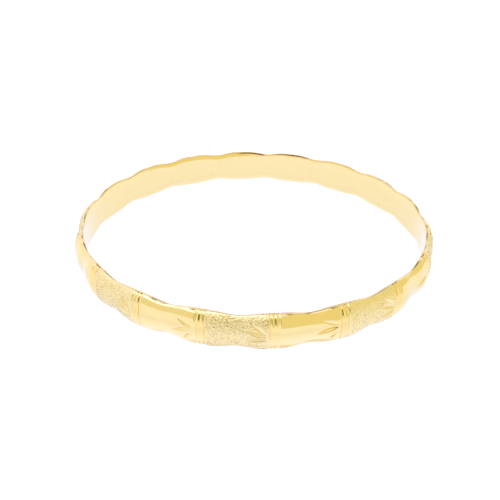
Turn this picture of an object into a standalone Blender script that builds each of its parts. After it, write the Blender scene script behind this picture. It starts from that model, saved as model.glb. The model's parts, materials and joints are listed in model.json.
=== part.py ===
"""Bamboo bangle: a hollow, closed slip-on bracelet of eighteen stamped internode shells.

The shells are soldered end to end over solid knuckle rings and closed behind by one flat liner band.
Run with: blender --background --python part.py

The bangle lies flat on the table: +Z is its axis, the origin is on that axis at the table, and the
middle of the first frosted internode points along -Y. Sections are drawn as (depth, height) pairs:
depth runs outwards from the inner face, and height runs up from the mid-plane.
"""

import math

import bmesh
import bpy

MM = 0.001

# Driving dimensions, in millimetres
INNER_RADIUS = 30.0
INTERNODES = 18
BAND_HEIGHT = 6.2  # at the flared ends of the internodes
WAIST_HEIGHT = 5.4  # halfway between two knuckles
BAND_DEPTH = 1.85  # inner face to crown, at the flared ends
WAIST_DEPTH = 1.45
RIM_LAND = 0.65  # depth at which the flat rim ends and the flank begins, at the flared ends
WAIST_LAND = 0.45
WALL = 0.30  # sheet thickness of shells and liner
SOLDER_GAP = 0.05  # between neighbouring pieces
FLARE_BIAS = 1.22  # above 1 gathers the narrowing towards the waist
CROWN_FULLNESS = 0.65  # share of the crown's fall that is a plain parabola; the rest is at the rims

# The knuckle, as arc distances from its middle: two beads, with a line between them and grooves beside
GROOVE_MIDDLE = 0.60  # the solder joint runs along the bottom of the groove
GROOVE_DEPTH = 0.17
BEAD_MIDDLE = 0.30
BEAD_DROP = 0.05  # how far the beads lie under the flared shell ends
LINE_DEPTH = 0.14  # of the line between the beads, under the flared shell ends
LIP = 0.88  # where the shell has its full section again
RIM_SHARE = 0.60  # how deep the groove is across the rims, as a share of its depth round the crown
TONGUE_END = 1.50  # how far the knuckle ring's tongue reaches into a shell
TONGUE_CLEARANCE = 0.08

# Worked out from the above
SHELL_BACK = WALL + SOLDER_GAP
MID_HEIGHT = BAND_HEIGHT / 2
ARC_RADIUS = INNER_RADIUS + BAND_DEPTH / 2
PITCH = 2 * math.pi / INTERNODES
HALF_PITCH = ARC_RADIUS * PITCH / 2
JOINT_HALF_GAP = SOLDER_GAP / 2

# How finely curves are divided
CROWN_STEPS = (1.0, 0.85, 0.5, 0.0, -0.5, -0.85, -1.0)  # shares of the half height
SHELL_STATIONS = 4  # between lip and waist
LINER_STATIONS = 8  # for each internode

GOLD = {
    "polished_gold": ((0.94, 0.74, 0.33, 1.0), 0.10),
    "frosted_gold": ((0.93, 0.76, 0.40, 1.0), 0.42),
    "knuckle_gold": ((0.94, 0.72, 0.30, 1.0), 0.12),
    "liner_gold": ((0.95, 0.78, 0.42, 1.0), 0.16),
}


def clear_scene():
    for obj in list(bpy.data.objects):
        bpy.data.objects.remove(obj, do_unlink=True)


def gold(name):
    """A metallic Principled material in one of the bangle's finishes."""
    colour, roughness = GOLD[name]
    material = bpy.data.materials.new(name)
    material.use_nodes = True
    shader = material.node_tree.nodes["Principled BSDF"]
    shader.inputs["Base Color"].default_value = colour
    shader.inputs["Metallic"].default_value = 1.0
    shader.inputs["Roughness"].default_value = roughness
    return material


def outline(arc):
    """(full height, crown depth, land depth) of the band at an arc distance from its nearest knuckle.

    All three shrink from the shell's lip to the waist along one smooth cosine flare.
    """
    share = min(max((arc - LIP) / (HALF_PITCH - LIP), 0.0), 1.0)
    drop = 0.5 - 0.5 * math.cos(math.pi * share**FLARE_BIAS)
    height = BAND_HEIGHT - (BAND_HEIGHT - WAIST_HEIGHT) * drop
    depth = BAND_DEPTH - (BAND_DEPTH - WAIST_DEPTH) * drop
    land = RIM_LAND - (RIM_LAND - WAIST_LAND) * drop
    return height, depth, land


def crown(share):
    """The crowned outer face: 1 at the middle, falling to 0 at the rim and fastest beside it."""
    return 1.0 - CROWN_FULLNESS * share**2 - (1.0 - CROWN_FULLNESS) * share**8


def crowned_section(height, depth, land, back=SHELL_BACK):
    """A closed convex section: flat back, a flat rim land above and below, and the crown between."""
    half = height / 2
    face = [(land + (depth - land) * crown(step), half * step) for step in CROWN_STEPS]
    return [(back, half), *face, (back, -half)]


def cut_section(cut):
    """The band's full section at a flared end, with this much cut off its crown and less off its rims."""
    return crowned_section(BAND_HEIGHT - 2 * cut * RIM_SHARE, BAND_DEPTH - cut, RIM_LAND)


def shell_section(arc, cut):
    """The C-shaped section of a shell: its outer face, then its cavity on the way back."""
    height, depth, land = outline(arc)
    outer = crowned_section(height - 2 * cut * RIM_SHARE, depth - cut, land)
    cavity_height = min(height, BAND_HEIGHT - 2 * GROOVE_DEPTH) - 2 * WALL
    cavity_depth = min(depth, BAND_DEPTH - GROOVE_DEPTH) - WALL
    cavity = crowned_section(cavity_height, cavity_depth, land)
    return outer + cavity[::-1]


def tongue_section():
    """The knuckle ring's tongue, a clearance smaller than the shell's cavity all round."""
    height = BAND_HEIGHT - 2 * (GROOVE_DEPTH + WALL + TONGUE_CLEARANCE)
    depth = BAND_DEPTH - GROOVE_DEPTH - WALL - TONGUE_CLEARANCE
    return crowned_section(height, depth, RIM_LAND, SHELL_BACK + TONGUE_CLEARANCE)


def placed(section, arc, middle_arc):
    """A section's points in space, at an arc distance from the piece's own middle at -Y."""
    angle = (arc - middle_arc) / ARC_RADIUS
    points = []
    for depth, height in section:
        radius = (INNER_RADIUS + depth) * MM
        points.append((radius * math.sin(angle), -radius * math.cos(angle), (MID_HEIGHT + height) * MM))
    return points


def loft(name, loops, ring=False):
    """A closed mesh through loops of equal length, with end caps or joined into a ring."""
    shape = bmesh.new()
    rows = [[shape.verts.new(point) for point in loop] for loop in loops]
    pairs = list(zip(rows, rows[1:]))
    if ring:
        pairs.append((rows[-1], rows[0]))
    else:
        shape.faces.new(rows[0])
        shape.faces.new(rows[-1][::-1])
    for near, far in pairs:
        for i in range(len(near)):
            shape.faces.new((near[i - 1], near[i], far[i], far[i - 1]))
    bmesh.ops.recalc_face_normals(shape, faces=shape.faces)
    mesh = bpy.data.meshes.new(name)
    shape.to_mesh(mesh)
    shape.free()
    mesh.shade_smooth()
    mesh.set_sharp_from_angle(angle=math.radians(35))
    return mesh


def shell_mesh():
    """One stamped internode, from the groove bottom at one knuckle to that at the next."""
    joint = GROOVE_MIDDLE + JOINT_HALF_GAP
    half = [(joint, GROOVE_DEPTH), (LIP, 0.0)]
    for step in range(1, SHELL_STATIONS + 1):
        half.append((LIP + (HALF_PITCH - LIP) * step / SHELL_STATIONS, 0.0))
    loops = [placed(shell_section(arc, cut), arc, HALF_PITCH) for arc, cut in half]
    for arc, cut in half[-2::-1]:
        loops.append(placed(shell_section(arc, cut), 2 * HALF_PITCH - arc, HALF_PITCH))
    return loft("internode_shell", loops)


def knuckle_mesh():
    """The solid ring between two shells, with a tongue that reaches into each of them."""
    joint = GROOVE_MIDDLE - JOINT_HALF_GAP
    tongue = tongue_section()
    half = [
        (TONGUE_END, tongue),
        (joint, tongue),
        (joint, cut_section(GROOVE_DEPTH)),
        (BEAD_MIDDLE, cut_section(BEAD_DROP)),
    ]
    loops = [placed(section, -arc, 0.0) for arc, section in half]
    loops.append(placed(cut_section(LINE_DEPTH), 0.0, 0.0))
    loops += [placed(section, arc, 0.0) for arc, section in reversed(half)]
    return loft("knuckle_ring", loops)


def liner_mesh():
    """The flat band that closes the shells from behind, its edges scalloped like theirs."""
    flat = 2 * LIP
    spacing = (2 * HALF_PITCH - flat) / (LINER_STATIONS - 1)
    loops = []
    for internode in range(INTERNODES):
        start = internode * 2 * HALF_PITCH
        for station in range(LINER_STATIONS):
            arc = LIP + station * spacing
            half = outline(min(arc, 2 * HALF_PITCH - arc))[0] / 2
            section = [(0.0, half), (WALL, half), (WALL, -half), (0.0, -half)]
            loops.append(placed(section, start + arc, HALF_PITCH))
    return loft("inner_liner", loops, ring=True)


def add_piece(name, mesh, material, turn):
    """One node, turned about the bangle's axis to its place."""
    obj = bpy.data.objects.new(name, mesh)
    bpy.context.scene.collection.objects.link(obj)
    if not mesh.materials:
        mesh.materials.append(material)
    obj.material_slots[0].link = "OBJECT"
    obj.material_slots[0].material = material
    obj.rotation_euler = (0.0, 0.0, turn)
    return obj


def build():
    clear_scene()
    finishes = {name: gold(name) for name in GOLD}
    add_piece("inner_liner", liner_mesh(), finishes["liner_gold"], 0.0)
    shell = shell_mesh()
    knuckle = knuckle_mesh()
    for index in range(INTERNODES):
        pair = index // 2 + 1
        finish = "frosted" if index % 2 == 0 else "polished"
        add_piece(f"{finish}_internode_{pair:02d}", shell, finishes[f"{finish}_gold"], index * PITCH)
        add_piece(f"knuckle_ring_{index + 1:02d}", knuckle, finishes["knuckle_gold"], (index + 0.5) * PITCH)


build()
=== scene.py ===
"""Bamboo bangle: the finished look of the bracelet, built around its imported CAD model.

The file is laid out as an add-on. PropertyGroups hold the sizes and colours, one operator makes each
kind of piece, and a panel in the 3D view's sidebar lists the operators. Run as a script, it makes the
whole bangle and its stage.

Every piece is a surface over two parameters, worked out as whole arrays: the arc distance along the
band, and the way round the band's section. A section is drawn as depth and height: depth runs outwards
from the inner face, and height runs up from the middle of the band. All lengths are in metres.
"""

import json
import math

import bpy
import numpy as np
from mathutils import Matrix, Vector


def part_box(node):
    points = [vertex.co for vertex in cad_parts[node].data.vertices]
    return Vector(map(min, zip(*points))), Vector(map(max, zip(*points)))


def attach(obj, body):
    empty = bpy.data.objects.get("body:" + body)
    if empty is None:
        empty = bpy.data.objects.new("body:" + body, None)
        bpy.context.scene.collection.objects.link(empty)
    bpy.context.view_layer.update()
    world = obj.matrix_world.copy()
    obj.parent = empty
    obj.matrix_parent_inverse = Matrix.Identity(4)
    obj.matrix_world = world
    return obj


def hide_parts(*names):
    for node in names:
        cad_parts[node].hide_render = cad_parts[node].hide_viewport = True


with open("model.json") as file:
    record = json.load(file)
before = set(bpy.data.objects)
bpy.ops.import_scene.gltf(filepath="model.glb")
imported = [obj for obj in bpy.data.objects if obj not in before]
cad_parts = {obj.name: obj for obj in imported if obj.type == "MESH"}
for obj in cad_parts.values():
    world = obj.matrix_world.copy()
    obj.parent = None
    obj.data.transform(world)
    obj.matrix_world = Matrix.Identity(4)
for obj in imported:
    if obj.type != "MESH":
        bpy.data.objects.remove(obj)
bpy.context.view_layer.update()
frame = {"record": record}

bl_info = {
    "name": "Bamboo Bangle",
    "version": (1, 0, 0),
    "blender": (4, 5, 0),
    "location": "3D View > Sidebar > Bangle",
    "description": "Builds a gold bamboo bangle: engraved shells, knuckle rings, liner and stage",
    "category": "Add Mesh",
}

MM = 0.001

# What the CAD model says
LINER_LOW, LINER_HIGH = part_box("inner_liner")
INTERNODES = sum(1 for part in frame["record"]["subparts"] if "internode" in part["node"])
PITCH = 2 * math.pi / INTERNODES
BAND_HEIGHT = float(LINER_HIGH[2] - LINER_LOW[2])
SHEET = 0.0003  # thickness of the liner
INNER_RADIUS = round(float(LINER_HIGH[0]) - SHEET, 4)
BODY = "root"  # nothing moves, so all the pieces ride one body

# How finely the surfaces are divided
LINER_STATIONS = 44  # for each internode
LINER_EDGE_STEPS = 26
LINER_FACE_STEPS = 8
SHELL_LIP_STEPS = 12  # from a groove to the lip beside it
SHELL_FACE_STEPS = 190  # from lip to lip
SHELL_ROUND_STEPS = 150  # over the outer face, from rim to rim
RING_STATIONS = 33
RING_ROUND_STEPS = 90
FOOT_STEPS = 3
RIM_STEPS = 6
RIM_GATHERING = 1.25  # above 1 brings the steps over a face closer together beside the rims
TABLE_SIDES = 96


def length(name, description, default, **limits):
    """A length property in metres."""
    return bpy.props.FloatProperty(
        name=name, description=description, default=default, unit="LENGTH", subtype="DISTANCE",
        precision=5, **limits,
    )


def colour(name, description, default):
    """A colour property in scene-linear values."""
    return bpy.props.FloatVectorProperty(
        name=name, description=description, default=default, subtype="COLOR", size=3, min=0.0, max=4.0,
    )


def factor(name, description, default, low=0.0, high=1.0):
    """A plain number property."""
    return bpy.props.FloatProperty(name=name, description=description, default=default, min=low, max=high)


class BangleSizes(bpy.types.PropertyGroup):
    """The band's own sizes, as the CAD model has them."""

    inner_radius: length("Inner radius", "From the axis to the inner face", INNER_RADIUS)
    band_height: length("Band height", "Height at the flared ends of the internodes", BAND_HEIGHT)
    waist_height: length("Waist height", "Height halfway between two knuckles", 0.0054)
    band_depth: length("Band depth", "From inner face to crown at the flared ends", 0.00185)
    waist_depth: length("Waist depth", "From inner face to crown at the waist", 0.00145)
    rim_land: length("Rim land", "Depth where the flat rim ends, at the flared ends", 0.00065)
    waist_land: length("Waist land", "Depth where the flat rim ends, at the waist", 0.00045)
    sheet: length("Sheet", "Thickness of the liner and of the shells' metal", SHEET)
    flare_bias: factor("Flare bias", "Above 1 gathers the narrowing towards the waist", 1.22, 0.5, 3.0)
    fullness: factor("Parabola share", "Share of the crown's fall that is a plain parabola", 0.65)


class KnuckleSizes(bpy.types.PropertyGroup):
    """The knuckle: two beads, a line between them and a groove on each side.

    Its places are arc distances from its middle.
    """

    groove: length("Groove", "Where the groove is deepest, and the shell meets the ring", 0.00060)
    groove_depth: length("Groove depth", "Depth of the groove under the flared ends", 0.00018)
    rim_share: factor("Rim share", "The groove's depth across the rims, as a share of its depth", 0.50)
    bead: length("Bead", "Where each of the ring's two beads is highest", 0.00030)
    bead_drop: length("Bead drop", "How far the beads lie under the flared ends", 0.00005)
    line_depth: length("Line depth", "Depth of the line between the beads under the flared ends", 0.00016)
    lip: length("Lip", "Where the shell has its full section", 0.00088)


class LeafSizes(bpy.types.PropertyGroup):
    """The bright-cut leaves at one end of each internode."""

    upper_slope: factor("Upper facet's slope", "Fall of the upper facet towards the spine", 0.44)
    shoulder: length("Shoulder", "Softness of the cut's edges", 0.000016)
    wander: length("Hand wander", "How far the engraver's hand strays from the pattern", 0.00015)


class GrainSizes(bpy.types.PropertyGroup):
    """The frosted internodes' struck grain."""

    spacing: length("Grain spacing", "Distance between neighbouring grains", 0.00021)
    facet_tilt: factor("Facet tilt", "Steepest tilt of one grain's facet, as a slope", 0.37)
    clear_margin: length("Clear margin", "Polished margin beside the knuckles and rims", 0.00022)


class BangleColours(bpy.types.PropertyGroup):
    """The metal's colours and finishes."""

    polished: colour("Polished gold", "Mirror-polished internodes", (1.0, 0.76, 0.31))
    frosted: colour("Frosted gold", "Struck, granular internodes", (1.0, 0.79, 0.35))
    knuckle: colour("Knuckle gold", "Knuckle rings", (1.0, 0.75, 0.28))
    liner: colour("Liner gold", "Inner face", (1.0, 0.77, 0.34))
    polished_roughness: factor("Polished roughness", "Mean roughness of polished metal", 0.07)
    frosted_roughness: factor("Frosted roughness", "Mean roughness of struck metal", 0.29)


class StageSettings(bpy.types.PropertyGroup):
    """Camera and lit table."""

    azimuth: bpy.props.FloatProperty(
        name="Azimuth", description="Camera's turn from the front, anticlockwise from above",
        default=math.radians(4.25), subtype="ANGLE",
    )
    elevation: bpy.props.FloatProperty(
        name="Elevation", description="Camera's height as an angle above the table",
        default=math.radians(29.55), subtype="ANGLE",
    )
    roll: bpy.props.FloatProperty(
        name="Roll", description="Camera's roll, anticlockwise as it looks",
        default=math.radians(1.08), subtype="ANGLE",
    )
    distance: length("Distance", "From the camera to the middle of the bangle", 0.1382)
    lens: bpy.props.FloatProperty(
        name="Lens", description="Focal length on a 36 mm sensor", default=54.29, unit="CAMERA",
    )
    table: colour("Table light", "Light that the lit table gives off", (1.02, 1.02, 1.26))
    table_radius: length("Table radius", "Radius of the table", 0.8)


SETTINGS = (
    ("bangle_sizes", BangleSizes),
    ("bangle_knuckle", KnuckleSizes),
    ("bangle_leaf", LeafSizes),
    ("bangle_grain", GrainSizes),
    ("bangle_colours", BangleColours),
    ("bangle_stage", StageSettings),
)


# The band's shape

LIP_CRISPNESS = 0.35  # share of the groove's outer side that ends in a crisp lip; the rest is rounded
LINER_EASE = 0.0016  # height over which the inner face eases into its edges
LINER_ROLL = (0.000155, 2)  # depth of the wide roll at the liner's edges, and its power of nearness
LINER_NOSE = (0.00004, 20)  # the same for the small round of the edge itself
FOOT_ROUND = 0.15  # size of the small rounds beside the solder line, as a share of the sheet
RIM_ROUND = 0.35  # how far the rounding of a rim runs over its flat land, as a share of the sheet
POLISHING_LOSS = 0.000015  # what finishing takes off the outer faces


def arc_radius(sizes):
    """Radius at which arc distances along the band are measured: halfway through its depth."""
    return sizes.inner_radius + sizes.band_depth / 2


def half_pitch(sizes):
    """Arc distance from a knuckle's middle to the waist beside it."""
    return arc_radius(sizes) * PITCH / 2


def outline(sizes, knuckle, arc):
    """Height, crown depth and land depth of the band at arc distances from the nearest knuckle.

    share = (arc - lip) / (half pitch - lip), held between 0 and 1
    drop = half of (1 - cosine of pi times share raised to the flare bias)
    Each of the three falls from its value at the flared end to its value at the waist by drop.
    """
    share = np.clip((arc - knuckle.lip) / (half_pitch(sizes) - knuckle.lip), 0.0, 1.0)
    drop = 0.5 - 0.5 * np.cos(np.pi * share**sizes.flare_bias)
    height = sizes.band_height + (sizes.waist_height - sizes.band_height) * drop
    depth = sizes.band_depth + (sizes.waist_depth - sizes.band_depth) * drop
    land = sizes.rim_land + (sizes.waist_land - sizes.rim_land) * drop
    return height, depth, land


def groove_cut(knuckle, arc):
    """How much is cut off the crown at arc distances from a knuckle's middle.

    Beyond the groove the cut falls from the groove depth to nothing at the lip. It is a blend of a
    quarter cosine, which leaves the lip crisp, and half a cosine, which rounds it. Inside, the cut
    runs as half cosines from the groove up to the bead and from the bead down to the middle line.
    """
    arc = np.abs(arc)
    depth, drop = knuckle.groove_depth, knuckle.bead_drop
    to_lip = np.clip((arc - knuckle.groove) / (knuckle.lip - knuckle.groove), 0.0, 1.0)
    crisp, soft = np.cos(np.pi / 2 * to_lip), 0.5 + 0.5 * np.cos(np.pi * to_lip)
    outside = depth * (LIP_CRISPNESS * crisp + (1.0 - LIP_CRISPNESS) * soft)
    to_groove = np.clip((arc - knuckle.bead) / (knuckle.groove - knuckle.bead), 0.0, 1.0)
    flank = (depth - drop) * (0.5 - 0.5 * np.cos(np.pi * to_groove))
    to_bead = np.clip(arc / knuckle.bead, 0.0, 1.0)
    line = (knuckle.line_depth - drop) * (0.5 + 0.5 * np.cos(np.pi * to_bead))
    return np.where(arc > knuckle.groove, outside, drop + flank + line)


def crown(sizes, share):
    """Crown height at a share of the half height: 1 - p share^2 - (1 - p) share^8, p the parabola share."""
    p = sizes.fullness
    return 1.0 - p * share**2 - (1.0 - p) * share**8


def crown_slope(sizes, share):
    """The crown's rate of fall with share, the derivative of the formula in crown."""
    p = sizes.fullness
    return -2.0 * p * share - 8.0 * (1.0 - p) * share**7


def face_shares(steps):
    """Shares of the half height between the upper rim and the lower, closer together beside the rims.

    share = 1 - (1 - even)^gathering on the upper half, and its mirror image on the lower, where even
    runs evenly. The two rims themselves are left out.
    """
    even = np.linspace(1.0, -1.0, steps)[1:-1]
    return np.sign(even) * (1.0 - (1.0 - np.abs(even)) ** RIM_GATHERING)


def rounded_corner(before, corner, after, steps):
    """Points on the quadratic curve that leaves from before, heads for corner and arrives at after.

    point(t) = (1 - t)^2 before + 2 t (1 - t) corner + t^2 after, for every station at once.
    """
    t = np.linspace(0.0, 1.0, steps)[None, :, None]
    return (1 - t) ** 2 * before[:, None] + 2 * t * (1 - t) * corner[:, None] + t**2 * after[:, None]


def pair(depth, height):
    """Depth and height arrays as one array of points."""
    depth, height = np.broadcast_arrays(depth, height)
    return np.stack([depth, height], axis=-1)


def band_sections(sizes, knuckle, arc, shares, relief=0.0):
    """Closed sections of shell or ring, one for each arc distance.

    Every section has its outer face over the given shares of the half height, pushed out along its own
    normal by relief, then a rounded corner, a flat land and a rounded foot at the liner, on both sides.
    """
    height, depth, land = outline(sizes, knuckle, arc)
    cut = groove_cut(knuckle, arc)
    half = (height / 2 - cut * knuckle.rim_share)[:, None]
    depth = (depth - cut)[:, None]
    land = land[:, None]
    face_depth = land + (depth - land) * crown(sizes, shares)[None, :]
    face_height = half * shares[None, :]
    slope = (depth - land) / half * crown_slope(sizes, shares)[None, :]
    steep = np.sqrt(1.0 + slope**2)
    face = pair(face_depth + relief / steep, face_height - relief * slope / steep)
    foot = sizes.sheet
    small = FOOT_ROUND * sizes.sheet
    roll = RIM_ROUND * sizes.sheet
    half, land = half[:, 0], land[:, 0]
    upper_foot = rounded_corner(
        pair(foot, half - small), pair(foot, half), pair(foot + small, half), FOOT_STEPS,
    )
    upper_rim = rounded_corner(pair(land - roll, half), pair(land, half), face[:, 0], RIM_STEPS)
    lower_rim = rounded_corner(face[:, -1], pair(land, -half), pair(land - roll, -half), RIM_STEPS)
    lower_foot = rounded_corner(
        pair(foot + small, -half), pair(foot, -half), pair(foot, small - half), FOOT_STEPS,
    )
    return np.concatenate([upper_foot, upper_rim, face[:, 1:-1], lower_rim, lower_foot], axis=1)


def liner_sections(sizes, half):
    """Closed sections of the liner, one for each half height, with its inner face at depth 0.

    Nearness runs from 0 where the face starts to ease to 1 at the edge. The face falls back there by
    the roll's depth times nearness squared, and the nose's depth times nearness to the twentieth.
    """
    back = sizes.sheet
    small = FOOT_ROUND * sizes.sheet
    upper_back = rounded_corner(
        pair(back, half - small), pair(back, half), pair(back - small, half), FOOT_STEPS,
    )
    lower_back = rounded_corner(
        pair(back - small, -half), pair(back, -half), pair(back, small - half), FOOT_STEPS,
    )
    from_edge = LINER_EASE * np.linspace(0.0, 1.0, LINER_EDGE_STEPS) ** 2
    nearness = 1.0 - from_edge / LINER_EASE
    eased = LINER_ROLL[0] * nearness ** LINER_ROLL[1] + LINER_NOSE[0] * nearness ** LINER_NOSE[1]
    upper = pair(eased[None, :], half[:, None] - from_edge[None, :])
    lower = pair(eased[None, ::-1], from_edge[None, ::-1] - half[:, None])
    shares = np.linspace(1.0, -1.0, LINER_FACE_STEPS)[1:-1]
    face = pair(np.zeros((len(half), 1)), (half - LINER_EASE)[:, None] * shares[None, :])
    return np.concatenate([upper_back, upper, face, lower, lower_back], axis=1)[:, ::-1]


def place(sizes, sections, arc, middle_angle):
    """Section points in space: each stands on the band's circle at its arc distance from the middle.

    angle = middle angle + arc / arc radius
    x = (inner radius + depth) sin(angle), y = -(inner radius + depth) cos(angle), z = middle + height
    """
    angle = (middle_angle + arc / arc_radius(sizes))[:, None]
    radius = sizes.inner_radius + sections[..., 0]
    middle_height = float(LINER_LOW[2]) + sizes.band_height / 2
    return np.stack(
        [radius * np.sin(angle), -radius * np.cos(angle), middle_height + sections[..., 1]], axis=-1,
    )


def skin(name, points, ring=False):
    """A mesh object over a grid of points: rows are sections, and each section is a closed loop.

    With ring, the last section joins the first; otherwise the two ends are capped. The strip that joins
    a loop's last point to its first is the flat back, which stays unsmoothed like the caps.
    """
    rows, columns = points.shape[:2]
    index = np.arange(rows * columns).reshape(rows, columns)
    near = index if ring else index[:-1]
    far = np.roll(index, -1, axis=0) if ring else index[1:]
    quads = np.stack(
        [near, np.roll(near, -1, axis=1), np.roll(far, -1, axis=1), far], axis=-1,
    ).reshape(-1, 4)
    smooth = np.ones(near.shape, dtype=bool)
    smooth[:, -1] = False
    caps = [] if ring else [index[0][::-1], index[-1]]
    loops = np.concatenate([quads.ravel(), *caps]).astype(np.int32)
    sizes_of_faces = np.concatenate([np.full(len(quads), 4), [columns] * len(caps)]).astype(np.int32)
    starts = np.concatenate([[0], np.cumsum(sizes_of_faces)[:-1]]).astype(np.int32)
    mesh = bpy.data.meshes.new(name)
    mesh.vertices.add(rows * columns)
    mesh.vertices.foreach_set("co", points.reshape(-1).astype(np.float32))
    mesh.loops.add(len(loops))
    mesh.loops.foreach_set("vertex_index", loops)
    mesh.polygons.add(len(sizes_of_faces))
    mesh.polygons.foreach_set("loop_start", starts)
    flat_caps = np.zeros(len(caps), dtype=bool)
    mesh.polygons.foreach_set("use_smooth", np.concatenate([smooth.ravel(), flat_caps]))
    mesh.update(calc_edges=True)
    if mesh.validate():
        raise RuntimeError(f"{name}: the grid made a broken mesh")
    obj = bpy.data.objects.new(name, mesh)
    bpy.context.scene.collection.objects.link(obj)
    return obj


def finish_piece(obj, node, material):
    """Give a piece its metal, tie it to the CAD body and let it stand for its CAD node."""
    obj.data.materials.append(material)
    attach(obj, BODY)
    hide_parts(node)


# Hand work: leaves, grain and polishing

POLISHED_SPRAY = (
    # Root, tip and greatest width of each leaf in millimetres, and the slope of its lower facet. Places
    # are distances from the middle of the knuckle on the right, and heights above the band's middle.
    ((1.15, 0.55), (3.70, 1.60), 0.70, 0.70),
    ((1.20, 0.32), (4.65, -0.85), 0.92, 1.00),
    ((1.10, -0.55), (2.65, -1.95), 0.70, 1.05),
)
FROSTED_SPRAY = (
    ((1.20, 0.05), (3.55, 2.10), 1.05, 0.62),
    ((1.10, -0.18), (4.60, 0.95), 1.12, 0.84),
    ((1.00, -0.60), (4.35, -1.20), 0.95, 0.58),
)
WIDTH_STRAY = 0.3  # how much of the hand's stray goes into a leaf's width
GRAIN_CELLS = 512  # cells each way before the pattern of grains repeats
GRAIN_STRAY = 0.45  # how far a grain's centre strays from its cell's, in cells
RIPPLE_PITCHES = (0.0042, 0.0027, 0.0019)
RIPPLE_HEIGHT = 0.0004  # of each polishing wave, as a share of its pitch
FIRST_HAND = 1800  # the first internode's hand; the others' follow it


def leaf_cut(leaf, arc, height, root, tip, width, lower_slope):
    """Depth of one bright-cut leaf over a patch of arc and height.

    Along runs from 0 at the root to 1 at the tip, and the width there is the full width times sine of
    pi times along^0.75. Two facets fall to a spine at their own slopes and meet at one depth, so each
    takes a share of the width that is the other's slope over the sum. The depth c at a point is that
    depth less the fall from the spine, and (c + sqrt(c^2 + shoulder^2)) / 2 eases it into the surface.
    Beyond the ends it fades as a bell, and where c is under -4 shoulders it is nothing.
    """
    spine = np.array(tip) - np.array(root)
    span = np.hypot(*spine)
    way = spine / span
    up = np.array([-way[1], way[0]]) * np.sign(way[0])
    east, north = arc - root[0], height - root[1]
    along = (east * way[0] + north * way[1]) / span
    across = east * up[0] + north * up[1]
    breadth = width * np.sin(np.pi * np.clip(along, 0.0, 1.0) ** 0.75)
    both = leaf.upper_slope + lower_slope
    deepest = breadth * leaf.upper_slope * lower_slope / both
    fall = np.where(across > 0, leaf.upper_slope * across, -lower_slope * across)
    cut = deepest - fall
    eased = 0.5 * (cut + np.sqrt(cut**2 + leaf.shoulder**2))
    beyond_ends = np.maximum(np.maximum(-along, along - 1.0) * span, 0.0)
    return eased * np.exp(-((beyond_ends / leaf.shoulder) ** 2)) * (cut > -4 * leaf.shoulder)


def spray_cut(leaf, spray, arc_from_right, height, hand):
    """Depth of a spray of leaves: the deepest of its leaves at every point.

    The hand strays a little from the pattern at each leaf's tip and in its width.
    """
    deepest = np.zeros_like(height)
    for root, tip, width, lower_slope in spray:
        stray = hand.uniform(-leaf.wander, leaf.wander, 3)
        root_at = (root[0] * MM, root[1] * MM)
        tip_at = (tip[0] * MM + stray[0], tip[1] * MM + stray[1])
        breadth = width * MM + WIDTH_STRAY * stray[2]
        cut = leaf_cut(leaf, arc_from_right, height, root_at, tip_at, breadth, lower_slope)
        deepest = np.maximum(deepest, cut)
    return deepest


def struck_grain(grain, arc, height, hand):
    """Height of a field of tiny tilted facets, as a punch leaves them.

    Space is divided into square cells, each with one strayed centre and one random tilt. A point
    belongs to its nearest centre, and its height is that facet's tilt times its offset from it, less
    half the sum of the tilt's two unsigned parts, so that hardly any grain stands over the surface.
    """
    column, row = arc / grain.spacing, height / grain.spacing
    base_column, base_row = np.floor(column), np.floor(row)
    stray = hand.uniform(-GRAIN_STRAY, GRAIN_STRAY, (GRAIN_CELLS, GRAIN_CELLS, 2))
    tilt = hand.uniform(-1.0, 1.0, (GRAIN_CELLS, GRAIN_CELLS, 2)) * grain.facet_tilt
    nearest = np.full(arc.shape, np.inf)
    relief = np.zeros_like(arc)
    for step_column in (-1, 0, 1):
        for step_row in (-1, 0, 1):
            cell_column = (base_column + step_column).astype(int)
            cell_row = (base_row + step_row).astype(int)
            centre = stray[cell_column % GRAIN_CELLS, cell_row % GRAIN_CELLS]
            lean = tilt[cell_column % GRAIN_CELLS, cell_row % GRAIN_CELLS]
            east = column - (cell_column + 0.5 + centre[..., 0])
            north = row - (cell_row + 0.5 + centre[..., 1])
            far = east**2 + north**2
            sunk = 0.5 * (np.abs(lean[..., 0]) + np.abs(lean[..., 1]))
            facet = (lean[..., 0] * east + lean[..., 1] * north - sunk) * grain.spacing
            relief = np.where(far < nearest, facet, relief)
            nearest = np.minimum(nearest, far)
    return relief


def polish_ripple(arc, height, hand):
    """The faint unevenness that hand polishing leaves: sine waves on random headings, a micron high."""
    ripple = np.zeros_like(height)
    for pitch in RIPPLE_PITCHES:
        heading, phase = hand.uniform(0.0, 2 * np.pi, 2)
        along = arc * np.cos(heading) + height * np.sin(heading)
        ripple += pitch * RIPPLE_HEIGHT * np.sin(2 * np.pi * along / pitch + phase)
    return ripple


# Metals

NOISE_MIDDLE = (0.3, 0.7)  # the range that most of a noise's values lie in
CLOUDS = 900.0  # features to a metre, for each of the noises
SCRATCHES = 9000.0
SPECKS = 9000.0
SPARKLES = 14000.0
SCRATCH_STRETCH = (1.0, 1.0, 0.15)  # the hairlines run along the axis
SCRATCH_DEPTH = 0.0000006
SPARKLE_DEPTH = 0.000007
CLOUDY_ROUGHNESS = (0.6, 1.6)  # shares of the mean roughness
SPECKLED_ROUGHNESS = (0.55, 1.45)
CLOUDY_TONE = 0.02  # how much darker the metal is in the clouds
SPECKLED_TONE = 0.03


def plain_material(name, base_colour, metallic, roughness):
    """A material that is the same all over, with its node tree and its shader."""
    material = bpy.data.materials.new(name)
    material.use_nodes = True
    tree = material.node_tree
    shader = tree.nodes["Principled BSDF"]
    shader.inputs["Base Color"].default_value = (*base_colour, 1.0)
    shader.inputs["Metallic"].default_value = metallic
    shader.inputs["Roughness"].default_value = roughness
    return material, tree, shader


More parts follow.
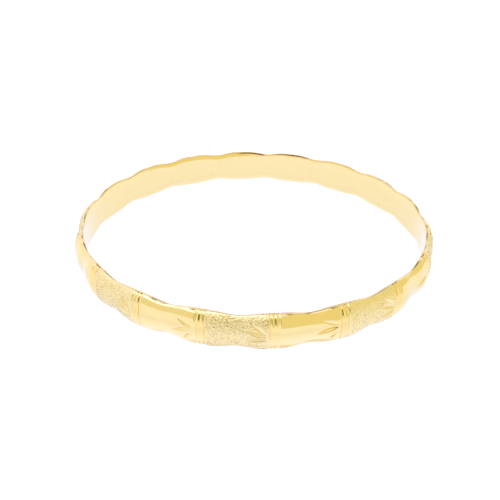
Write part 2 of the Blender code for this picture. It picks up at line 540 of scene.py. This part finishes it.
def noise(tree, scale, detail, stretch=(1.0, 1.0, 1.0)):
    """A noise on Object coordinates, with this many features to a metre."""
    place_in = tree.nodes.new("ShaderNodeTexCoord")
    mapping = tree.nodes.new("ShaderNodeMapping")
    mapping.inputs["Scale"].default_value = stretch
    texture = tree.nodes.new("ShaderNodeTexNoise")
    texture.inputs["Scale"].default_value = scale
    texture.inputs["Detail"].default_value = detail
    tree.links.new(place_in.outputs["Object"], mapping.inputs["Vector"])
    tree.links.new(mapping.outputs["Vector"], texture.inputs["Vector"])
    return texture.outputs["Fac"]


def spread(tree, value, low, high):
    """Stretch a noise's middle range to run from low to high."""
    node = tree.nodes.new("ShaderNodeMapRange")
    node.inputs["From Min"].default_value = NOISE_MIDDLE[0]
    node.inputs["From Max"].default_value = NOISE_MIDDLE[1]
    node.inputs["To Min"].default_value = low
    node.inputs["To Max"].default_value = high
    tree.links.new(value, node.inputs["Value"])
    return node.outputs["Result"]


def bump(tree, shader, value, distance):
    """Raise fine relief under the shader."""
    node = tree.nodes.new("ShaderNodeBump")
    node.inputs["Distance"].default_value = distance
    tree.links.new(value, node.inputs["Height"])
    tree.links.new(node.outputs["Normal"], shader.inputs["Normal"])


def tint_between(tree, shader, value, first, second):
    """Let the metal's colour wander between two close tones."""
    node = tree.nodes.new("ShaderNodeMix")
    node.data_type = "RGBA"
    node.inputs["A"].default_value = (*first, 1.0)
    node.inputs["B"].default_value = (*second, 1.0)
    tree.links.new(value, node.inputs["Factor"])
    tree.links.new(node.outputs["Result"], shader.inputs["Base Color"])


def shaded(tone, amount):
    """A colour made darker by amount: its green loses 1.2 times as much as its red, its blue 1.6."""
    return (tone[0] * (1 - amount), tone[1] * (1 - 1.2 * amount), tone[2] * (1 - 1.6 * amount))


def vary_roughness(tree, shader, value, mean, shares):
    """Let the roughness run between two shares of its mean."""
    low, high = (share * mean for share in shares)
    tree.links.new(spread(tree, value, low, high), shader.inputs["Roughness"])


def polished_gold(name, tone, mean):
    """Mirror polish: roughness and tone cloudy from handling, and hairline scratches."""
    material, tree, shader = plain_material(name, tone, 1.0, mean)
    cloud = noise(tree, CLOUDS, 4.0)
    vary_roughness(tree, shader, cloud, mean, CLOUDY_ROUGHNESS)
    tint_between(tree, shader, spread(tree, cloud, 0.0, 1.0), tone, shaded(tone, CLOUDY_TONE))
    bump(tree, shader, noise(tree, SCRATCHES, 2.0, SCRATCH_STRETCH), SCRATCH_DEPTH)
    return material


def frosted_gold(name, tone, mean):
    """Struck metal: roughness and tone that change from speck to speck, and a fine sparkle."""
    material, tree, shader = plain_material(name, tone, 1.0, mean)
    speck = noise(tree, SPECKS, 3.0)
    vary_roughness(tree, shader, speck, mean, SPECKLED_ROUGHNESS)
    tint_between(tree, shader, spread(tree, speck, 0.0, 1.0), shaded(tone, SPECKLED_TONE), tone)
    bump(tree, shader, noise(tree, SPARKLES, 3.0), SPARKLE_DEPTH)
    return material


# Operators


def hand_for(index):
    """A fresh, repeatable source of small strays for one internode."""
    return np.random.default_rng(FIRST_HAND + index)


def settings(context):
    """All setting groups of the scene, by name."""
    return {name: getattr(context.scene, name) for name, _ in SETTINGS}


def internode_stations(sizes, knuckle):
    """Arc distances from one groove to the next: even from lip to lip, and even over each groove's side."""
    full = 2 * half_pitch(sizes)
    lip = knuckle.groove + (knuckle.lip - knuckle.groove) * np.linspace(0.0, 1.0, SHELL_LIP_STEPS)
    face = np.linspace(knuckle.lip, full - knuckle.lip, SHELL_FACE_STEPS)[1:-1]
    return np.concatenate([lip, face, full - lip[::-1]])


def from_nearest_knuckle(sizes, arc):
    """Arc distances from the nearer knuckle, for arc distances from the one on the left."""
    return np.minimum(arc, 2 * half_pitch(sizes) - arc)


class BANGLE_OT_liner(bpy.types.Operator):
    """Make the inner liner: one flat band with softly rolled, scalloped edges"""

    bl_idname = "bangle.liner"
    bl_label = "Inner Liner"
    bl_options = {"REGISTER", "UNDO"}

    def execute(self, context):
        groups = settings(context)
        sizes, colours = groups["bangle_sizes"], groups["bangle_colours"]
        full = 2 * half_pitch(sizes)
        one = full * np.arange(LINER_STATIONS) / LINER_STATIONS
        arc = (one[None, :] + full * np.arange(INTERNODES)[:, None]).ravel()
        nearest = from_nearest_knuckle(sizes, np.tile(one, INTERNODES))
        half = outline(sizes, groups["bangle_knuckle"], nearest)[0] / 2
        points = place(sizes, liner_sections(sizes, half), arc, -PITCH / 2)
        material = polished_gold("liner_metal", colours.liner, colours.polished_roughness)
        finish_piece(skin("inner_liner_band", points, ring=True), "inner_liner", material)
        return {"FINISHED"}


def add_internodes(context, finish, material, spray, grained):
    """Make every internode of one finish at its CAD node's place.

    The outer face moves inwards by the polishing loss and the leaves' depth, and by the ripple and the
    grain as they come. The grain fades out towards the lips and the rims, and stops at the leaves.
    """
    groups = settings(context)
    sizes, knuckle, leaf = groups["bangle_sizes"], groups["bangle_knuckle"], groups["bangle_leaf"]
    grain = groups["bangle_grain"]
    arc = internode_stations(sizes, knuckle)
    shares = face_shares(SHELL_ROUND_STEPS)
    from_knuckle = from_nearest_knuckle(sizes, arc)
    half = outline(sizes, knuckle, from_knuckle)[0] / 2
    patch_arc = np.broadcast_to(arc[:, None], (len(arc), len(shares)))
    patch_height = half[:, None] * shares[None, :]
    full = 2 * half_pitch(sizes)
    first = 0 if finish == "frosted" else 1
    for index in range(first, INTERNODES, 2):
        hand = hand_for(index)
        relief = polish_ripple(patch_arc, patch_height, hand) - POLISHING_LOSS
        cut = spray_cut(leaf, spray, full - patch_arc, patch_height, hand)
        if grained:
            field = struck_grain(grain, patch_arc, patch_height, hand)
            from_lip = from_knuckle[:, None] - knuckle.lip
            from_rim = (1.0 - np.abs(shares))[None, :] * sizes.waist_height / 2
            clear = np.clip(np.minimum(from_lip, from_rim) / grain.clear_margin, 0.0, 1.0)
            relief = relief + np.where(cut > leaf.shoulder, 0.0, field * clear)
        name = f"{finish}_internode_{index // 2 + 1:02d}"
        sections = band_sections(sizes, knuckle, from_knuckle, shares, relief - cut)
        points = place(sizes, sections, arc, (index - 0.5) * PITCH)
        finish_piece(skin(f"{name}_shell", points), name, material)


class BANGLE_OT_polished_internodes(bpy.types.Operator):
    """Make the mirror-polished internodes with their engraved leaves"""

    bl_idname = "bangle.polished_internodes"
    bl_label = "Polished Internodes"
    bl_options = {"REGISTER", "UNDO"}

    def execute(self, context):
        colours = context.scene.bangle_colours
        material = polished_gold("polished_metal", colours.polished, colours.polished_roughness)
        add_internodes(context, "polished", material, POLISHED_SPRAY, grained=False)
        return {"FINISHED"}


class BANGLE_OT_frosted_internodes(bpy.types.Operator):
    """Make the frosted internodes: struck grain with leaves cut through it"""

    bl_idname = "bangle.frosted_internodes"
    bl_label = "Frosted Internodes"
    bl_options = {"REGISTER", "UNDO"}

    def execute(self, context):
        colours = context.scene.bangle_colours
        material = frosted_gold("frosted_metal", colours.frosted, colours.frosted_roughness)
        add_internodes(context, "frosted", material, FROSTED_SPRAY, grained=True)
        return {"FINISHED"}


class BANGLE_OT_knuckle_rings(bpy.types.Operator):
    """Make the knuckle rings that join the internodes"""

    bl_idname = "bangle.knuckle_rings"
    bl_label = "Knuckle Rings"
    bl_options = {"REGISTER", "UNDO"}

    def execute(self, context):
        groups = settings(context)
        sizes, knuckle = groups["bangle_sizes"], groups["bangle_knuckle"]
        colours = groups["bangle_colours"]
        material = polished_gold("knuckle_metal", colours.knuckle, colours.polished_roughness)
        arc = knuckle.groove * np.sin(np.linspace(-np.pi / 2, np.pi / 2, RING_STATIONS))
        sections = band_sections(sizes, knuckle, np.abs(arc), face_shares(RING_ROUND_STEPS))
        for index in range(INTERNODES):
            name = f"knuckle_ring_{index + 1:02d}"
            points = place(sizes, sections, arc, (index + 0.5) * PITCH)
            finish_piece(skin(f"{name}_collar", points), name, material)
        return {"FINISHED"}


# The stage

TABLE_GREY = (0.12, 0.12, 0.12)
TABLE_CLEARANCE = 0.00002  # below the bangle
BACKDROP_WHITE = (1.05, 1.05, 1.05)
CAMERA_SHIFT = (-0.00896, -0.00654)  # in frame widths
CAMERA_RANGE = (0.005, 20.0)
AIM = (0.0, 0.0, 0.0001)  # the point that the unshifted camera looks at
TABLE_GLOW_AND_SHADE = (
    # Elevation in degrees, and the light that comes from there before anything is laid over it
    # Painted shade: the two lowest stops are dimmer, standing in for the shadow that the bangle casts on
    # the table just beneath it
    (-90, (0.87, 0.91, 1.06)),
    (-74, (0.88, 0.92, 1.08)),
    (-62, (1.12, 1.20, 1.95)),
    (-44, (1.04, 1.11, 1.55)),
    (-32, (0.95, 1.03, 1.32)),
    (-18, (1.02, 1.09, 1.38)),
    (4, (1.02, 1.08, 1.36)),
    (30, (1.00, 1.04, 1.40)),
    (90, (1.10, 1.12, 1.60)),
)
SURROUNDINGS = (
    # What it is; its light; where it starts and ends in azimuth and its softness there; the same in
    # elevation. All in degrees, azimuth from the front, anticlockwise from above.
    ("warm room, left of the camera", (0.87, 0.88, 0.76), (-72, -10, 8), (2, 54, 4)),
    ("warm room, right of the camera", (0.87, 0.85, 0.59), (-6, 132, 8), (1, 63, 3)),
    ("warm card on the table", (0.87, 0.85, 0.59), (8, 85, 8), (-13, 6, 1.5)),
    ("overhead light", (1.75, 1.80, 2.90), (-95, 18, 6), (46, 80, 4)),
    ("gap beside the overhead light", (0.42, 0.41, 0.30), (62, 118, 5), (60, 80, 3)),
    ("dark corner", (0.30, 0.28, 0.16), (-88, -48, 6), (60, 74, 3)),
    ("dark upright left of the camera", (0.06, 0.04, 0.015), (-27, -16, 3), (-4, 38, 5)),
    ("dark upright right of the camera", (0.06, 0.04, 0.015), (1, 17, 3), (-4, 38, 5)),
)
CLOSED_BEHIND = 400  # an end past 180 degrees, which no direction reaches
DARK_BACK = (
    # The same, with azimuth counted both ways from the front
    ("dark gap over the backdrop", (0.10, 0.08, 0.04), (158, CLOSED_BEHIND, 5), (38, 62, 3)),
    ("dark foot of the backdrop", (0.50, 0.44, 0.28), (156, CLOSED_BEHIND, 5), (1, 12, 2)),
)


def lit_table(stage):
    """A round, pale, softly glowing table under the bangle, which reflects the studio light instead."""
    material, _, shader = plain_material("lit_table", TABLE_GREY, 0.0, 0.9)
    shader.inputs["Specular IOR Level"].default_value = 0.0
    shader.inputs["Emission Color"].default_value = (*stage.table, 1.0)
    shader.inputs["Emission Strength"].default_value = 1.0
    turn = np.linspace(0.0, 2 * np.pi, TABLE_SIDES, endpoint=False)
    top = np.full(TABLE_SIDES, float(LINER_LOW[2]) - TABLE_CLEARANCE)
    rim = np.stack([stage.table_radius * np.cos(turn), stage.table_radius * np.sin(turn), top], axis=-1)
    mesh = bpy.data.meshes.new("table")
    mesh.from_pydata(rim, [], [list(range(TABLE_SIDES))])
    mesh.materials.append(material)
    table = bpy.data.objects.new("table", mesh)
    table.visible_glossy = False
    bpy.context.scene.collection.objects.link(table)


def math_node(tree, operation, first, second=None):
    """One math node; its inputs are sockets or numbers."""
    node = tree.nodes.new("ShaderNodeMath")
    node.operation = operation
    for socket, value in zip(node.inputs, (first, second)):
        if isinstance(value, bpy.types.NodeSocket):
            tree.links.new(value, socket)
        elif value is not None:
            socket.default_value = value
    return node.outputs["Value"]


def edge(tree, value, at, soft):
    """Smooth step from 0 to 1 about a value given in degrees."""
    node = tree.nodes.new("ShaderNodeMapRange")
    node.interpolation_type = "SMOOTHSTEP"
    node.inputs["From Min"].default_value = math.radians(at - soft)
    node.inputs["From Max"].default_value = math.radians(at + soft)
    tree.links.new(value, node.inputs["Value"])
    return node.outputs["Result"]


def window(tree, value, low, high, soft):
    """1 between low and high, and 0 outside, with soft edges."""
    return math_node(tree, "SUBTRACT", edge(tree, value, low, soft), edge(tree, value, high, soft))


def lay_over(tree, below, colour_above, weight):
    """Mix one colour over what is below by a weight."""
    node = tree.nodes.new("ShaderNodeMix")
    node.data_type = "RGBA"
    node.inputs["B"].default_value = (*colour_above, 1.0)
    tree.links.new(weight, node.inputs["Factor"])
    tree.links.new(below, node.inputs["A"])
    return node.outputs["Result"]


def studio_light():
    """The light around the bangle, by azimuth and elevation: a lit table and what stands around it."""
    world = bpy.data.worlds.new("studio")
    bpy.context.scene.world = world
    world.use_nodes = True
    tree = world.node_tree
    where = tree.nodes.new("ShaderNodeTexCoord")
    split = tree.nodes.new("ShaderNodeSeparateXYZ")
    tree.links.new(where.outputs["Generated"], split.inputs["Vector"])
    elevation = math_node(tree, "ARCSINE", split.outputs["Z"])
    forward = math_node(tree, "MULTIPLY", split.outputs["Y"], -1.0)
    azimuth = math_node(tree, "ARCTAN2", split.outputs["X"], forward)
    from_front = math_node(tree, "ABSOLUTE", azimuth)
    ramp = tree.nodes.new("ShaderNodeValToRGB")
    height = math_node(tree, "DIVIDE", elevation, math.pi)
    tree.links.new(math_node(tree, "ADD", height, 0.5), ramp.inputs["Fac"])
    stops = ramp.color_ramp.elements
    while len(stops) < len(TABLE_GLOW_AND_SHADE):
        stops.new(1.0)
    for stop, (degrees, light) in zip(stops, TABLE_GLOW_AND_SHADE):
        stop.position = degrees / 180 + 0.5
        stop.color = (*light, 1.0)
    tone = ramp.outputs["Color"]
    for turn, group in ((azimuth, SURROUNDINGS), (from_front, DARK_BACK)):
        for _, light, across, upright in group:
            weight = math_node(
                tree, "MULTIPLY", window(tree, turn, *across), window(tree, elevation, *upright),
            )
            tone = lay_over(tree, tone, light, weight)
    seen = tree.nodes.new("ShaderNodeLightPath")
    backdrop = lay_over(tree, tone, BACKDROP_WHITE, seen.outputs["Is Camera Ray"])
    tree.links.new(backdrop, tree.nodes["Background"].inputs["Color"])


def set_camera(stage):
    """A camera at the viewing angle, rolled and shifted a little as a hand-set one is."""
    camera = bpy.data.objects.new("camera", bpy.data.cameras.new("camera"))
    camera.data.lens = stage.lens
    camera.data.clip_start, camera.data.clip_end = CAMERA_RANGE
    camera.data.shift_x, camera.data.shift_y = CAMERA_SHIFT
    side = Vector((math.sin(stage.azimuth), -math.cos(stage.azimuth), 0.0))
    back = side * math.cos(stage.elevation) + Vector((0.0, 0.0, math.sin(stage.elevation)))
    level = Vector((0.0, 0.0, 1.0)).cross(side).normalized()
    upright = back.cross(level)
    right = level * math.cos(stage.roll) + upright * math.sin(stage.roll)
    up = upright * math.cos(stage.roll) - level * math.sin(stage.roll)
    turn = Matrix((right, up, back)).transposed().to_4x4()
    camera.matrix_world = Matrix.Translation(Vector(AIM) + back * stage.distance) @ turn
    bpy.context.scene.collection.objects.link(camera)
    bpy.context.scene.camera = camera


class BANGLE_OT_stage(bpy.types.Operator):
    """Set the table, the light and the camera"""

    bl_idname = "bangle.stage"
    bl_label = "Stage"
    bl_options = {"REGISTER", "UNDO"}

    def execute(self, context):
        stage = context.scene.bangle_stage
        lit_table(stage)
        studio_light()
        set_camera(stage)
        context.scene.view_settings.view_transform = "Standard"
        context.scene.view_settings.look = "None"
        return {"FINISHED"}


OPERATORS = (
    BANGLE_OT_liner,
    BANGLE_OT_polished_internodes,
    BANGLE_OT_frosted_internodes,
    BANGLE_OT_knuckle_rings,
    BANGLE_OT_stage,
)


class BANGLE_PT_panel(bpy.types.Panel):
    """Lists the pieces, and the settings they are made from."""

    bl_idname = "BANGLE_PT_panel"
    bl_label = "Bamboo Bangle"
    bl_space_type = "VIEW_3D"
    bl_region_type = "UI"
    bl_category = "Bangle"

    def draw(self, context):
        for operator in OPERATORS:
            self.layout.operator(operator.bl_idname)
        for name, group in SETTINGS:
            box = self.layout.box()
            for field in group.__annotations__:
                box.prop(getattr(context.scene, name), field)


def register():
    for name, group in SETTINGS:
        bpy.utils.register_class(group)
        setattr(bpy.types.Scene, name, bpy.props.PointerProperty(type=group))
    for cls in (*OPERATORS, BANGLE_PT_panel):
        bpy.utils.register_class(cls)


def unregister():
    for cls in reversed((*OPERATORS, BANGLE_PT_panel)):
        bpy.utils.unregister_class(cls)
    for name, group in reversed(SETTINGS):
        delattr(bpy.types.Scene, name)
        bpy.utils.unregister_class(group)


def main():
    """Make the bangle and its stage."""
    register()
    bpy.ops.bangle.liner()
    bpy.ops.bangle.polished_internodes()
    bpy.ops.bangle.frosted_internodes()
    bpy.ops.bangle.knuckle_rings()
    bpy.ops.bangle.stage()


if __name__ == "__main__":
    main()
